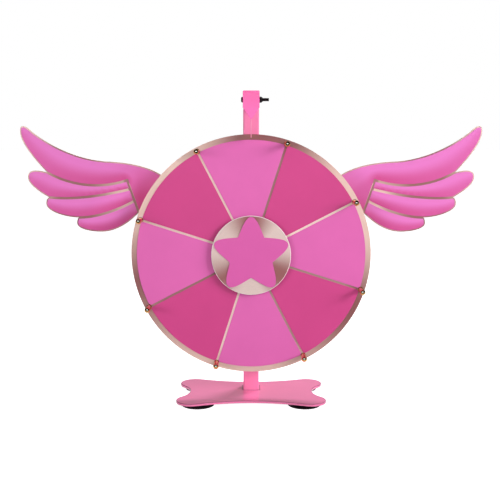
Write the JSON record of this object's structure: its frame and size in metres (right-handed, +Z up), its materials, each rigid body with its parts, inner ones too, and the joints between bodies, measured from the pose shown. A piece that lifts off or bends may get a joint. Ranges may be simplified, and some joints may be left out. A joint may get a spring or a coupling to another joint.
{
  "type": "tabletop prize wheel",
  "caption": "Tabletop prize wheel with coloured sectors, gold pegs, a star hub, fixed wings, a sprung flapper and a steel stand on suction cups.",
  "frame": {"origin": "on the table, under the middle of the base plate", "axes": "+Z up, the wheel faces -Y, +X to the right as seen from the front"},
  "size_m": [0.737, 0.146, 0.495],
  "materials": {
    "pink_paint": "glossy pink powder coat",
    "champagne_board": "brushed champagne metal skin",
    "light_panel": "smooth light pink write-on panel",
    "dark_panel": "smooth deep pink write-on panel",
    "feather_panel": "smooth panel shaded from orchid to deep pink",
    "gold_peg": "polished",
    "cup_rubber": "satin black",
    "black_steel": "black oxide",
    "zinc_steel": "zinc plated",
    "black_plastic": "moulded",
    "flapper_plastic": "clear flexible sheet"
  },
  "bodies": {
    "stand": {"base_plate": "pink_paint", "suction_cup_front_left": "cup_rubber", "suction_cup_front_right": "cup_rubber", "suction_cup_rear_left": "cup_rubber", "suction_cup_rear_right": "cup_rubber", "cup_studs": "zinc_steel", "post_tube": "pink_paint", "post_foot": "zinc_steel", "post_bolts": "black_steel", "pointer_arm": "pink_paint", "pointer_plate": "pink_paint", "arm_spigot": "zinc_steel", "arm_cap": "black_plastic", "arm_screws": "black_steel", "flapper_holder": "black_plastic", "flapper_bolt": "black_steel", "flapper_nut": "black_steel", "flapper_sleeves": "zinc_steel", "wing_crossbar": "pink_paint", "crossbar_bolts": "black_steel", "left_wing": "champagne_board", "right_wing": "champagne_board", "left_feathers": "feather_panel", "right_feathers": "feather_panel", "wing_screws": "black_steel", "m5_nuts": "zinc_steel", "axle_bolt": "zinc_steel", "crush_tube": "zinc_steel", "axle_sleeve": "zinc_steel", "inner_races": "zinc_steel", "race_spacer": "zinc_steel", "axle_washer": "zinc_steel", "axle_nut": "zinc_steel"},
    "wheel": {"wheel_disc": "champagne_board", "sector_1": "dark_panel", "sector_2": "light_panel", "sector_3": "dark_panel", "sector_4": "light_panel", "sector_5": "dark_panel", "sector_6": "light_panel", "sector_7": "dark_panel", "sector_8": "light_panel", "peg_1": "gold_peg", "peg_2": "gold_peg", "peg_3": "gold_peg", "peg_4": "gold_peg", "peg_5": "gold_peg", "peg_6": "gold_peg", "peg_7": "gold_peg", "peg_8": "gold_peg", "peg_nuts": "zinc_steel", "hub_flange": "zinc_steel", "hub_screws": "zinc_steel", "hub_spacer": "black_plastic", "hub_cover": "champagne_board", "hub_star": "light_panel", "outer_races": "zinc_steel"},
    "flapper": {"flapper": "flapper_plastic"},
    "bearing_balls": {"bearing_balls": "zinc_steel"}
  },
  "joints": [
    {"name": "wheel_spin", "type": "hinge", "parent": "stand", "child": "wheel", "pos_m": [0, -0.0275, 0.24], "axis": [0, 1, 0], "continuous": true},
    {"name": "ball_cage_spin", "type": "hinge", "parent": "stand", "child": "bearing_balls", "pos_m": [0, -0.0275, 0.24], "axis": [0, 1, 0], "continuous": true},
    {"name": "flapper_flex", "type": "hinge", "parent": "stand", "child": "flapper", "pos_m": [0, -0.045, 0.4701], "axis": [0, 1, 0], "range_deg": [-28, 28], "stiffness_Nm_per_rad": 0.05}
  ],
  "couplings": [
    {"joint": "ball_cage_spin", "follows": "wheel_spin", "ratio": 0.625}
  ]
}
